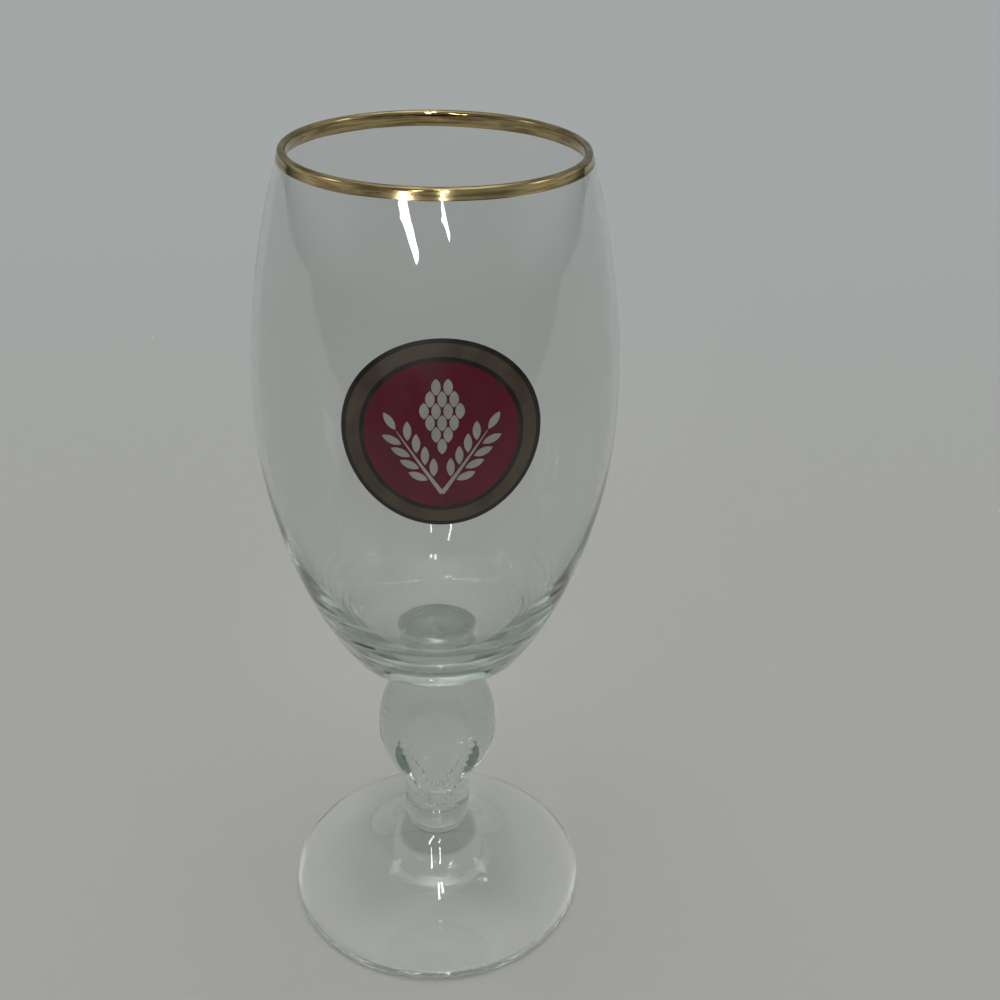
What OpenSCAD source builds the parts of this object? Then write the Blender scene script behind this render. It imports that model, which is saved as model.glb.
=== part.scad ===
// Chalice beer glass: a blown bowl on a pressed stem and a spun foot, with a fired gold band
// round the lip and a round badge of four fired enamel colours.
// Millimetres, +Z up. The origin is the centre of the plane that the foot rests on.

/* [Foot] */
// Diameter of the foot
foot_d = 77.2; // [68:0.2:88]
// Height of the foot, from the table to the stem
foot_h = 22.9; // [17:0.1:30]
// Thickness of the foot at its rounded edge
foot_edge_t = 2.6; // [2:0.1:4]
// Width of the flat ring that the foot rests on
foot_pad_w = 2.6; // [1.6:0.1:4]
// Rise of the hollow under the foot
foot_hollow_h = 1.4; // [0.4:0.1:2.4]

/* [Stem] */
// Diameter of the collar that stands on the foot
collar_d = 17; // [14:0.1:20]
// Height of the collar
collar_h = 5.7; // [4:0.1:8]
// Radius of the collar's rounded edges
collar_round = 0.7; // [0.3:0.05:1.2]
// Diameter of the waist above the collar
waist_d = 16.2; // [13:0.1:18]
// Height from the waist to the widest place of the knop
knop_rise = 23.2; // [18:0.1:30]
// Diameter of the knop at its widest place
knop_d = 30; // [27:0.1:34]
// Height from the widest place of the knop to the bowl
knop_fall = 25.2; // [20:0.1:32]
// Diameter of the neck that carries the bowl
neck_d = 20.8; // [17:0.1:24]
// Radius of the rounding between the neck and the underside of the bowl
neck_round = 0.8; // [0.4:0.1:1.4]

/* [Thumb cuts] */
// Height of the middle of the thumb cuts above the waist
thumb_rise = 21; // [18:0.1:24]
// Depth of the thumb cuts below the widest place of the knop
thumb_depth = 4.6; // [3:0.1:5.5]
// Lean of the thumb cuts towards the foot, in degrees
thumb_lean = 7; // [2:0.5:10]
// Radius of the hollow face of the thumb cuts
thumb_dish_r = 160; // [80:5:240]
// Width of the ring of notches round each thumb cut
notch_ring_w = 20; // [16:0.2:22]
// Height of the ring of notches round each thumb cut
notch_ring_h = 27; // [22:0.2:30]
// Number of notches round each thumb cut
notch_count = 16; // [10:1:18]
// Radius of a notch at its outer end
notch_r = 1.3; // [0.8:0.05:1.6]

/* [Bowl] */
// Height of the bowl, from the neck to the top of the gold on the lip
bowl_h = 123; // [110:0.5:140]
// Diameter of the edge round the underside of the bowl
base_d = 44.5; // [38:0.1:50]
// Height of that edge above the neck
base_h = 3.2; // [2:0.1:5]
// Diameter of the bowl at its widest place
belly_d = 80.8; // [74:0.2:90]
// Height of the widest place above the neck
belly_h = 67; // [60:0.5:74]
// Diameter of the glass at the lip
lip_d = 63.6; // [56:0.2:70]
// Lean of the wall towards the axis at the lip, in degrees
lip_lean = 17; // [12:0.5:22]
// Thickness of the wall from the belly up
wall_t = 1.5; // [1.1:0.05:2.2]
// Thickness of the wall at the heel, where it turns into the floor
heel_t = 3.4; // [2.4:0.1:4.4]
// Thickness of the floor over the neck
floor_t = 5.6; // [4.4:0.1:8]
// Thickness of the fire-rounded bead at the lip
bead_t = 1.6; // [1.4:0.05:2.6]
// Height over which the wall thickens into the bead
bead_h = 5; // [3:0.1:9]

/* [Gold band] */
// Thickness of the gold
gold_t = 0.1; // [0.05:0.01:0.2]
// Depth of the gold down the outside of the lip
gold_out_h = 2.3; // [1.5:0.1:5]
// Depth of the gold down the inside of the lip
gold_in_h = 2.8; // [1.5:0.1:5]

/* [Badge] */
// Height of the middle of the badge above the neck
badge_h = 77; // [72:0.5:86]
// Turn of the badge round the bowl, in degrees
badge_turn = 1.5; // [-10:0.5:10]
// Thickness of one fired enamel colour
enamel_t = 0.08; // [0.05:0.01:0.15]
// Diameter of the whole badge
badge_d = 39; // [37:0.5:44]
// Width of the dark lines on both sides of the border
keyline_w = 0.9; // [0.5:0.05:1.4]
// Width of the bronze border
border_w = 2.6; // [1.6:0.1:3.6]
// Height of an ear of barley with its stalk
ear_h = 20; // [18:0.5:21]
// Length of one grain
grain_l = 4; // [3.4:0.1:4.4]
// Radius of the two arcs that draw a grain
grain_arc_r = 2.9; // [2.8:0.1:4]
// Number of pairs of grains in an ear
grain_pairs = 4; // [3:1:4]
// Width of a stalk at its foot
stalk_w = 0.9; // [0.5:0.05:1.4]
// Gap between a stalk and its grains
grain_gap = 0.25; // [0.15:0.05:0.4]
// Lean of the two ears away from each other, in degrees
ear_lean = 34; // [30:1:40]
// Length of one scale of the hop cone
hop_scale_l = 3.3; // [2.8:0.1:3.4]
// Radius of the two arcs that draw a scale
hop_arc_r = 1.95; // [1.9:0.05:2.4]
// Distance between the scales of a row of the hop cone
hop_step = 2.3; // [2.2:0.1:2.6]
// Distance between the rows of the hop cone
hop_row_h = 2.4; // [2.3:0.1:2.7]

/* [Hidden] */
$fn = 96;

// Straight steps that stand for each curve of the bowl's and the foot's outline
curve_steps = 28;
// Straight steps that stand for each curve of the stem's outline
knop_steps = 16;
// Straight steps in each small rounding
round_steps = 6;
// Straight sides that stand for the round of a notch
notch_sides = 32;

// Heights of the seams and the main places, from the table up
waist_z = foot_h + collar_h;
knop_z = waist_z + knop_rise;
neck_z = knop_z + knop_fall;
base_z = neck_z + base_h;
belly_z = neck_z + belly_h;
lip_top_z = neck_z + bowl_h - gold_t;
floor_z = neck_z + floor_t;
badge_z = neck_z + badge_h;

// Places of the curve handles, as shares of the sizes that they lie between
base_out_share = 0.09;
base_up_share = 0.02;
belly_down_share = 0.55;
belly_up_share = 0.46;
lip_reach_share = 0.19;
heel_share = 0.34;
heel_reach_share = 0.94;
floor_flat_share = 0.5;
waist_up_share = 0.42;
knop_down_share = 0.35;
knop_up_share = 0.46;
neck_down_share = 0.52;
foot_down_share = 0.6;
foot_in_share = 0.27;
foot_low_share = 0.11;
hollow_flat_share = 0.4;
hollow_edge_share = 0.82;
under_flat_share = 0.35;
under_edge_share = 0.75;
under_sag_share = 0.12;
edge_round_share = 0.25;

// The drawing of the badge: shares of its field and of its parts, and scales in each row of the hop
ear_foot_share = 0.8;
grain_first_share = 0.2;
grain_lean = 34;
hop_top_share = 0.78;
hop_counts = [2, 3, 4, 3, 2, 1];

// A point part of the way from a to b
function between(a, b, k) = a + (b - a) * k;

// A point of the curve with the end points p[0] and p[3] and the handles p[1] and p[2]
function curve_point(p, t) =
    pow(1 - t, 3) * p[0] + 3 * pow(1 - t, 2) * t * p[1] + 3 * (1 - t) * t * t * p[2] + pow(t, 3) * p[3];

// The direction of that curve
function curve_slope(p, t) =
    pow(1 - t, 2) * (p[1] - p[0]) + 2 * (1 - t) * t * (p[2] - p[1]) + t * t * (p[3] - p[2]);

// The unit vector square to that curve, on its right-hand side
function curve_side(p, t) = let (s = curve_slope(p, t)) [s[1], -s[0]] / norm(s);

// The points of a curve between two of its shares
function curve(p, from = 0, to = 1, steps = curve_steps) =
    [for (i = [0 : steps]) curve_point(p, between(from, to, i / steps))];

// The points of an arc round a centre
function arc(centre, r, from, to, steps = round_steps) =
    [for (i = [0 : steps]) let (a = between(from, to, i / steps)) centre + r * [cos(a), sin(a)]];

// Zero below 0, one above 1, and smooth in between
function eased(k) = let (c = max(0, min(1, k))) c * c * (3 - 2 * c);

// Outside of the bowl: from the base edge to the belly, and from the belly to the lip
belly_r = belly_d / 2;
base_edge_r = base_d / 2;
lip_r = lip_d / 2;
lower_side = [
    [base_edge_r, base_z],
    [between(base_edge_r, belly_r, base_out_share), between(base_z, belly_z, base_up_share)],
    [belly_r, between(belly_z, base_z, belly_down_share)],
    [belly_r, belly_z]
];
bead_r = bead_t / 2;
bead_centre = [lip_r - bead_r, lip_top_z - bead_r];
lip_side = [cos(lip_lean), sin(lip_lean)];
lip_end = bead_centre + bead_r * lip_side;
lip_reach = (lip_end[1] - belly_z) * lip_reach_share;
upper_side = [
    [belly_r, belly_z],
    [belly_r, between(belly_z, lip_end[1], belly_up_share)],
    lip_end + lip_reach * [lip_side[1], -lip_side[0]],
    lip_end
];

// Wall thickness of the upper side at a height, with the bead at its end
function upper_wall(z) = between(wall_t, bead_t, eased((z - lip_end[1] + bead_h) / bead_h));

// Wall thickness of the lower side at a share of its curve
function lower_wall(t) = between(wall_t, heel_t, pow((1 - t) / (1 - heel_share), 3));

function upper_inside(t) =
    let (p = curve_point(upper_side, t)) p - upper_wall(p[1]) * curve_side(upper_side, t);
function lower_inside(t) =
    curve_point(lower_side, t) - lower_wall(t) * curve_side(lower_side, t);

// Inside of the bowl, from the heel to the middle of the floor
heel = lower_inside(heel_share);
heel_slope = curve_slope(lower_side, heel_share);
heel_reach = (heel[1] - floor_z) * heel_reach_share / heel_slope[1];
floor_side = [
    heel,
    heel - heel_slope * heel_reach,
    [heel[0] * floor_flat_share, floor_z],
    [0, floor_z]
];

// Underside of the bowl, from the neck out to the rounded base edge
neck_r = neck_d / 2;
neck_top_r = neck_r + neck_round;
edge_round = base_h * edge_round_share;
underside = [
    [neck_top_r, neck_z],
    [between(neck_top_r, base_edge_r, under_flat_share), neck_z + base_h * under_sag_share],
    [between(neck_top_r, base_edge_r, under_edge_share), base_z - edge_round - base_h * under_sag_share],
    [base_edge_r - edge_round, base_z - edge_round]
];

bowl_outline = concat(
    [[0, neck_z]],
    curve(underside),
    curve(lower_side),
    curve(upper_side, 1 / curve_steps, 1, curve_steps - 1),
    arc(bead_centre, bead_r, lip_lean, lip_lean + 180, 2 * round_steps),
    [for (i = [curve_steps - 1 : -1 : 0]) upper_inside(i / curve_steps)],
    [for (i = [curve_steps - 1 : -1 : 0]) lower_inside(between(heel_share, 1, i / curve_steps))],
    curve(floor_side, 1 / curve_steps, 1, curve_steps - 1)
);

module bowl() {
    color([0.86, 0.92, 0.9, 0.4])
    rotate_extrude() polygon(bowl_outline);
}

// Outline of the stem: collar, waist, knop and neck
collar_r = collar_d / 2;
waist_r = waist_d / 2;
knop_r = knop_d / 2;
knop_lower = [
    [waist_r, waist_z],
    [waist_r, between(waist_z, knop_z, waist_up_share)],
    [knop_r, between(knop_z, waist_z, knop_down_share)],
    [knop_r, knop_z]
];
knop_upper = [
    [knop_r, knop_z],
    [knop_r, between(knop_z, neck_z, knop_up_share)],
    [neck_r, between(neck_z, knop_z, neck_down_share)],
    [neck_r, neck_z - neck_round]
];
stem_outline = concat(
    [[0, foot_h]],
    arc([collar_r - collar_round, foot_h + collar_round], collar_round, -90, 0),
    arc([collar_r - collar_round, waist_z - collar_round], collar_round, 0, 90),
    curve(knop_lower, steps = knop_steps),
    curve(knop_upper, 1 / knop_steps, 1, knop_steps - 1),
    arc([neck_top_r, neck_z - neck_round], neck_round, 180 - 90 / round_steps, 90, round_steps - 1),
    [[0, neck_z]]
);

// A thumb cut: a wide hollow face that leans to the foot, with notches round its border
thumb_z = waist_z + thumb_rise;
notch_start_share = 0.62;
notch_end_share = 1.08;

// Distance from the middle of a thumb cut to its ring of notches, in a direction
function notch_ring(a) = 1 / norm([2 * cos(a) / notch_ring_w, 2 * sin(a) / notch_ring_h]);

module thumb_cut() {
    translate([0, thumb_depth - knop_r, thumb_z])
    rotate([90 + thumb_lean, 0, 0]) {
        translate([0, 0, thumb_dish_r])
        rotate([90, 0, 0])
        sphere(r = thumb_dish_r);
        for (i = [0 : notch_count - 1]) {
            a = (i + 0.5) * 360 / notch_count;
            reach = notch_ring(a);
            start = reach * notch_start_share;
            lift = (start * start) / (2 * thumb_dish_r);
            rotate([0, 0, a])
            translate([start, 0, lift])
            rotate([0, 90, 0])
            cylinder(h = reach * notch_end_share - start, r1 = 0, r2 = notch_r, $fn = notch_sides);
        }
    }
}

module stem() {
    color([0.84, 0.91, 0.89, 0.45])
    difference() {
        rotate_extrude() polygon(stem_outline);
        thumb_cut();
        rotate([0, 0, 180]) thumb_cut();
    }
}

// Outline of the foot: hollow underside, resting ring, rounded edge and the rise to the stem
foot_r = foot_d / 2;
edge_r = foot_edge_t / 2;
pad_out_r = foot_r - edge_r;
pad_in_r = pad_out_r - foot_pad_w;
foot_top_r = collar_r - collar_round;
foot_hollow = [
    [0, foot_hollow_h],
    [pad_in_r * hollow_flat_share, foot_hollow_h],
    [pad_in_r * hollow_edge_share, 0],
    [pad_in_r, 0]
];
foot_rise = [
    [pad_out_r, foot_edge_t],
    [between(foot_top_r, pad_out_r, foot_in_share), between(foot_edge_t, foot_h, foot_low_share)],
    [foot_top_r, between(foot_h, foot_edge_t, foot_down_share)],
    [foot_top_r, foot_h]
];
foot_outline = concat(
    curve(foot_hollow),
    arc([pad_out_r, edge_r], edge_r, -90, 90, 2 * round_steps),
    curve(foot_rise, 1 / curve_steps, 1, curve_steps - 1),
    [[0, foot_h]]
);

module foot() {
    color([0.84, 0.91, 0.89, 0.45])
    rotate_extrude() polygon(foot_outline);
}

// The whole outside as one curve: shares 0 to 1 lie below the belly, and 1 to 2 above it
function outside_point(t) = t < 1 ? curve_point(lower_side, t) : curve_point(upper_side, t - 1);
function outside_side(t) = t < 1 ? curve_side(lower_side, t) : curve_side(upper_side, t - 1);

// The share at which the outside reaches a height, found by halving
function share_at(z, low = 0, high = 2, tries = 30) =
    tries == 0 ? (low + high) / 2
    : let (mid = (low + high) / 2)
      outside_point(mid)[1] < z ? share_at(z, mid, high, tries - 1)
    : share_at(z, low, mid, tries - 1);

// Gold band: a skin from the outside over the bead to the inside, on the bowl's own points
gold_out_from = share_at(lip_top_z - gold_out_h) - 1;
gold_in_from = share_at(lip_top_z - gold_in_h) - 1;
gold_outside = [for (i = [0 : round_steps]) between(gold_out_from, 1, i / round_steps)];
gold_inside = [for (i = [round_steps : -1 : 0]) between(gold_in_from, 1, i / round_steps)];
gold_seat = concat(
    [for (t = gold_outside) curve_point(upper_side, t)],
    arc(bead_centre, bead_r, lip_lean, lip_lean + 180, 2 * round_steps),
    [for (t = gold_inside) upper_inside(t)]
);
gold_face = concat(
    [for (t = gold_outside) curve_point(upper_side, t) + gold_t * curve_side(upper_side, t)],
    arc(bead_centre, bead_r + gold_t, lip_lean, lip_lean + 180, 2 * round_steps),
    [for (t = gold_inside) upper_inside(t) - gold_t * curve_side(upper_side, t)]
);

module rim_band() {
    color([0.72, 0.56, 0.26])
    rotate_extrude()
    polygon(concat(gold_face, [for (i = [len(gold_seat) - 1 : -1 : 0]) gold_seat[i]]));
}

// A skin round the bowl, between two heights over the glass, on the bowl's own points
skin_margin = wall_t;
skin_low = floor(share_at(badge_z - badge_d / 2 - skin_margin) * curve_steps);
skin_high = ceil(share_at(badge_z + badge_d / 2 + skin_margin) * curve_steps);
function skin_line(over) =
    [for (i = [skin_low : skin_high])
        outside_point(i / curve_steps) + over * outside_side(i / curve_steps)];

module skin(from, to) {
    inner = skin_line(from);
    rotate_extrude() polygon(concat(skin_line(to), [for (i = [len(inner) - 1 : -1 : 0]) inner[i]]));
}

// Lays a flat drawing on the front of the bowl as a coat of enamel
module enamel(from, to) {
    intersection() {
        skin(from, to);
        translate([0, 0, badge_z])
        rotate([90, 0, badge_turn])
        linear_extrude(height = belly_r + to + skin_margin) children();
    }
}

module ring(outer_r, width) {
    difference() {
        circle(r = outer_r);
        circle(r = outer_r - width);
    }
}

badge_r = badge_d / 2;
border_r = badge_r - keyline_w;
inner_line_r = border_r - border_w;
field_r = inner_line_r - keyline_w;

module badge_keylines() {
    color([0.1, 0.09, 0.08])
    enamel(0, enamel_t) {
        ring(badge_r, keyline_w);
        ring(inner_line_r, keyline_w);
    }
}

module badge_border() {
    color([0.3, 0.25, 0.19])
    enamel(0, enamel_t) ring(border_r, border_w);
}

module badge_field() {
    color([0.47, 0.08, 0.14])
    enamel(0, enamel_t) circle(r = field_r);
}

// A pointed leaf shape between two arcs, standing on the origin
module leaf_shape(length, arc_r) {
    half = length / 2;
    off = sqrt(arc_r * arc_r - half * half);
    translate([0, half])
    intersection() {
        translate([off, 0]) circle(r = arc_r);
        translate([-off, 0]) circle(r = arc_r);
    }
}

// Fires one off-white shape on the field, at a place and a turn of the badge
module dab(place, turn) {
    enamel(enamel_t, 2 * enamel_t)
    translate(place)
    rotate([0, 0, turn])
    children();
}

// The place of a point of an ear that leans by an angle, with the foot of the ear on the field
ear_foot = [0, -field_r * ear_foot_share];
function leaned(p, a) = ear_foot + [p[0] * cos(a) - p[1] * sin(a), p[0] * sin(a) + p[1] * cos(a)];

module barley_ear(lean) {
    first = ear_h * grain_first_share;
    step = (ear_h - first - grain_l) / grain_pairs;
    off = stalk_w / 2 + grain_gap;
    top = ear_h - grain_l - grain_gap;
    dab(leaned([0, 0], lean), lean) polygon([[-stalk_w / 2, 0], [stalk_w / 2, 0], [0, top]]);
    dab(leaned([0, ear_h - grain_l], lean), lean) leaf_shape(grain_l, grain_arc_r);
    for (side = [-1, 1]) {
        for (i = [0 : grain_pairs - 1]) {
            dab(leaned([side * off, first + step * i], lean), lean - side * grain_lean)
            leaf_shape(grain_l, grain_arc_r);
        }
    }
}

// A hop cone that hangs from a point of the badge, in rows of pointed scales
module hop_cone() {
    top = field_r * hop_top_share;
    for (row = [0 : len(hop_counts) - 1]) {
        count = hop_counts[row];
        for (i = [0 : count - 1]) {
            dab([(i - (count - 1) / 2) * hop_step, top - hop_row_h * row], 180)
            leaf_shape(hop_scale_l, hop_arc_r);
        }
    }
}

module badge_motif() {
    color([0.88, 0.86, 0.8]) {
        barley_ear(ear_lean);
        barley_ear(-ear_lean);
        hop_cone();
    }
}

bowl();
stem();
foot();
rim_band();
badge_keylines();
badge_border();
badge_field();
badge_motif();
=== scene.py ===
import bpy, bmesh, math
from mathutils import Matrix, Vector, noise


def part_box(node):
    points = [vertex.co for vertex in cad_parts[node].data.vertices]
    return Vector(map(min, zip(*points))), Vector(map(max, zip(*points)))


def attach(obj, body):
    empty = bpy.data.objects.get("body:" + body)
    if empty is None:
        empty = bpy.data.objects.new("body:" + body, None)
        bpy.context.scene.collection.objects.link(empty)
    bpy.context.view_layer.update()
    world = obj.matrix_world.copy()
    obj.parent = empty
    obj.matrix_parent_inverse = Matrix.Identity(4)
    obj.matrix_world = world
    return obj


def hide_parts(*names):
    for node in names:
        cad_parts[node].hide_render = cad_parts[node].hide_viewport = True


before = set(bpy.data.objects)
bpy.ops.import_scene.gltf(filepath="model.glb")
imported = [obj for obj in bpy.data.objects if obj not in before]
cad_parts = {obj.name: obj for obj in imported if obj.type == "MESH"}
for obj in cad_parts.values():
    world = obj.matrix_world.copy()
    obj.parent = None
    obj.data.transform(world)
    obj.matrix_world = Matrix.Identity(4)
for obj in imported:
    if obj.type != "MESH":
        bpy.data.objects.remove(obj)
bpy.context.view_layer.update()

# Chalice beer glass. Outlines are pairs of radius and height in millimetres; meshes are in metres.
mm = 0.001
scene = bpy.context.scene


def span(node):  # a CAD node's largest radius, lowest and highest height
    low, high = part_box(node)
    return max(high.x, -low.x) / mm, low.z / mm, high.z / mm


bellyRadius, neckZ, lipTop = span("bowl")
knopRadius, stemFoot, stemTop = span("stem")
footRadius, _, footTop = span("foot")
seamGap = 0.005  # half of the hair of room between two fused pieces
print("frame: bowl", round(neckZ, 2), "to", round(lipTop, 2), "stem from", round(stemFoot, 2))


# A socket that takes part in plain sums, and the graph that adds the nodes for them
class Wire:
    def __init__(self, graph, node, socket):
        self.graph, self.node, self.socket = graph, node, socket

    def __getitem__(self, name):
        return Wire(self.graph, self.node, self.graph.find(self.node.outputs, name))

    def __add__(self, other):
        return self.graph.calc("ADD", self, other)

    def __sub__(self, other):
        return self.graph.calc("SUBTRACT", self, other)

    def __rsub__(self, other):
        return self.graph.calc("SUBTRACT", other, self)

    def __mul__(self, other):
        return self.graph.calc("MULTIPLY", self, other)

    def __truediv__(self, other):
        return self.graph.calc("DIVIDE", self, other)

    def __pow__(self, other):
        return self.graph.calc("POWER", self, other)

    __radd__ = __add__
    __rmul__ = __mul__


class Graph:
    def __init__(self, tree):
        self.tree = tree
        tree.nodes.clear()

    def find(self, sockets, key):
        if isinstance(key, int):
            return sockets[key]
        for socket in sockets:
            if socket.identifier == key:
                return socket
        return next(socket for socket in sockets if socket.name == key and socket.enabled)

    def add(self, kind, settings=None, sockets=None):
        node = self.tree.nodes.new(kind)
        for name, value in (settings or {}).items():
            setattr(node, name, value)
        for key, value in (sockets or {}).items():
            socket = self.find(node.inputs, key)
            if isinstance(value, Wire):
                self.tree.links.new(value.socket, socket)
            else:
                socket.default_value = (*value, 1) if socket.type == "RGBA" else value
        outs = [socket for socket in node.outputs if socket.enabled]
        return Wire(self, node, outs[0] if outs else None)

    def calc(self, operation, *values):
        return self.add("ShaderNodeMath", {"operation": operation}, dict(enumerate(values)))

    def vector(self, operation, *values):
        return self.add("ShaderNodeVectorMath", {"operation": operation}, dict(enumerate(values)))

    def fade(self, value, start, end, low=0.0, high=1.0):
        return self.add("ShaderNodeMapRange", {"interpolation_type": "SMOOTHSTEP"},
                        {"Value": value, "From Min": start, "From Max": end, "To Min": low, "To Max": high})

    def grain(self, place, scale, detail=2.0, roughness=0.5):
        return self.add("ShaderNodeTexNoise", {},
                        {"Vector": place, "Scale": scale, "Detail": detail, "Roughness": roughness})

    def blend(self, share, one, other):
        return self.add("ShaderNodeMix", {"data_type": "RGBA"},
                        {"Factor_Float": share, "A_Color": one, "B_Color": other})["Result_Color"]


def newMaterial(name):
    material = bpy.data.materials.new(name)
    material.use_nodes = True
    return material, Graph(material.node_tree)


# Geometry trees: named inputs in, one plain mesh out
def newTree(name, inputs):
    tree = bpy.data.node_groups.new(name, "GeometryNodeTree")
    tree.interface.new_socket(name="Geometry", in_out="INPUT", socket_type="NodeSocketGeometry")
    for label, kind in inputs.items():
        tree.interface.new_socket(name=label, in_out="INPUT", socket_type="NodeSocket" + kind)
    tree.interface.new_socket(name="Geometry", in_out="OUTPUT", socket_type="NodeSocketGeometry")
    graph = Graph(tree)
    return tree, graph, graph.add("NodeGroupInput")


def closeTree(graph, geometry, material):
    real = graph.add("GeometryNodeRealizeInstances", {}, {"Geometry": geometry})
    graph.add("NodeGroupOutput", {}, {"Geometry": graph.add("GeometryNodeSetMaterial", {},
                                                            {"Geometry": real, "Material": material})})


def runTree(name, tree, source, values):
    scene.collection.objects.link(source)
    modifier = source.modifiers.new("shape", "NODES")
    modifier.node_group = tree
    for item in tree.interface.items_tree:
        if item.in_out == "INPUT" and item.name in values:
            modifier[item.identifier] = values[item.name]
    ready = source.evaluated_get(bpy.context.evaluated_depsgraph_get())
    mesh = bpy.data.meshes.new_from_object(ready)
    mesh.name = name
    source.modifiers.remove(modifier)
    bpy.data.objects.remove(source)
    piece = bpy.data.objects.new(name, mesh)
    scene.collection.objects.link(piece)
    return piece


def chain(name, points):  # an open line of points as a mesh, for a tree to use
    mesh = bpy.data.meshes.new(name)
    mesh.from_pydata(points, [(i, i + 1) for i in range(len(points) - 1)], [])
    return bpy.data.objects.new(name, mesh)


lathe = {"hub": 1.0, "weld": 0.0005, "crease": 42, "level": 0.999, "nearSeam": 0.002}


def turn(graph, given):  # the input line swept round the axis and welded at its poles
    ring = graph.add("GeometryNodeCurvePrimitiveCircle", {},
                     {"Resolution": given["Segments"], "Radius": lathe["hub"] * mm})
    line = graph.add("GeometryNodeMeshToCurve", {}, {"Mesh": given["Geometry"]})
    swept = graph.add("GeometryNodeCurveToMesh", {}, {"Curve": ring, "Profile Curve": line})
    weld = lathe["weld"] * mm
    welded = graph.add("GeometryNodeMergeByDistance", {}, {"Geometry": swept, "Distance": weld})
    return graph.add("GeometryNodeSetShadeSmooth", {}, {"Geometry": welded})


def latheTree():
    tree, graph, given = newTree("turnedGlass", {"Segments": "Int", "Material": "Material"})
    closeTree(graph, turn(graph, given), given["Material"])
    return tree


def latheLine(outline):  # the sweep adds the hub's radius and looks down, so the line is laid for that
    return [((r - lathe["hub"]) * mm, -z * mm, 0) for r, z in outline]


def finishTurned(piece, seams=()):
    mesh = piece.data
    work = bmesh.new()
    work.from_mesh(mesh)
    bmesh.ops.recalc_face_normals(work, faces=work.faces)
    if work.calc_volume(signed=True) < 0:
        bmesh.ops.reverse_faces(work, faces=work.faces)
    work.to_mesh(mesh)
    work.free()
    mesh.set_sharp_from_angle(angle=math.radians(lathe["crease"]))
    mark = mesh.attributes.new("seam", "FLOAT", "FACE")
    for face in mesh.polygons:
        height = face.center.z / mm
        atSeam = any(abs(height - z) < lathe["nearSeam"] for z in seams)
        mark.data[face.index].value = float(atSeam and abs(face.normal.z) > lathe["level"])
    return piece


# Curves
def between(a, b, share):
    return a + (b - a) * share


def curvePoint(p, t):
    shares = ((1 - t) ** 3, 3 * (1 - t) ** 2 * t, 3 * (1 - t) * t * t, t ** 3)
    return tuple(sum(s * q[i] for s, q in zip(shares, p)) for i in (0, 1))


def curveSlope(p, t):
    shares = ((1 - t) ** 2, 2 * (1 - t) * t, t * t)
    return tuple(sum(s * (b[i] - a[i]) for s, a, b in zip(shares, p, p[1:])) for i in (0, 1))


def curveSide(p, t):  # unit vector square to the curve, on its right
    x, z = curveSlope(p, t)
    size = math.hypot(x, z)
    return z / size, -x / size


def curve(p, steps):
    return [curvePoint(p, i / steps) for i in range(steps + 1)]


def shareAtHeight(side, z):  # how far along a rising curve a height lies
    low, high = 0.0, 1.0
    for _ in range(30):
        mid = (low + high) / 2
        low, high = (mid, high) if curvePoint(side, mid)[1] < z else (low, mid)
    return low


def arc(centre, radius, start, end, steps):
    turns = [math.radians(between(start, end, i / steps)) for i in range(steps + 1)]
    return [(centre[0] + radius * math.cos(a), centre[1] + radius * math.sin(a)) for a in turns]


def eased(share):
    share = max(0.0, min(1.0, share))
    return share * share * (3 - 2 * share)


def joined(*runs):  # one outline from runs that may share their end points
    outline = []
    for run in runs:
        for point in run:
            if not outline or math.dist(outline[-1], point) > 1e-4:
                outline.append(point)
    return outline


# Bowl
bowl = {
    "segments": 384, "neckRadius": 10.4, "fillet": 0.8, "filletEnd": 115,
    "baseRadius": 22.25, "baseRise": 3.2, "edgeRound": 0.8, "underRise": 0.3, "underSag": 0.5,
    "bellyZ": 144.0, "baseOut": 0.09, "baseUp": 0.02, "bellyDown": 0.55, "bellyUp": 0.46,
    "lipRadius": 31.8, "lean": 17, "lipReach": 0.19,
    "edgeIn": (0.45, 0.12), "edgeOut": (0.12, 0.4), "underPulls": (0.33, 0.7),
    "wall": 1.5, "heelWall": 3.4, "heelShare": 0.34, "heelReach": 0.94, "floorZ": 82.6, "floorFlat": 0.5,
    "bead": 1.6, "beadRise": 5.0, "wallSteps": 26, "heelSteps": 52, "heelCrowd": 1.25,
}
baseZ = neckZ + bowl["baseRise"]
lowerSide = [
    (bowl["baseRadius"], baseZ),
    (between(bowl["baseRadius"], bellyRadius, bowl["baseOut"]),
     between(baseZ, bowl["bellyZ"], bowl["baseUp"])),
    (bellyRadius, between(bowl["bellyZ"], baseZ, bowl["bellyDown"])),
    (bellyRadius, bowl["bellyZ"]),
]
leanSide = (math.cos(math.radians(bowl["lean"])), math.sin(math.radians(bowl["lean"])))
beadRadius = bowl["bead"] / 2
beadCentre = (bowl["lipRadius"] - beadRadius, lipTop - beadRadius)
lipEnd = (beadCentre[0] + beadRadius * leanSide[0], beadCentre[1] + beadRadius * leanSide[1])
lipReach = (lipEnd[1] - bowl["bellyZ"]) * bowl["lipReach"]
upperSide = [
    (bellyRadius, bowl["bellyZ"]),
    (bellyRadius, between(bowl["bellyZ"], lipEnd[1], bowl["bellyUp"])),
    (lipEnd[0] + lipReach * leanSide[1], lipEnd[1] - lipReach * leanSide[0]),
    lipEnd,
]


def upperInside(t):
    r, z = curvePoint(upperSide, t)
    side = curveSide(upperSide, t)
    wall = between(bowl["wall"], bowl["bead"], eased((z - lipEnd[1] + bowl["beadRise"]) / bowl["beadRise"]))
    return r - wall * side[0], z - wall * side[1]


def lowerInside(t):
    r, z = curvePoint(lowerSide, t)
    side = curveSide(lowerSide, t)
    wall = between(bowl["wall"], bowl["heelWall"], ((1 - t) / (1 - bowl["heelShare"])) ** 3)
    return r - wall * side[0], z - wall * side[1]


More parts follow.
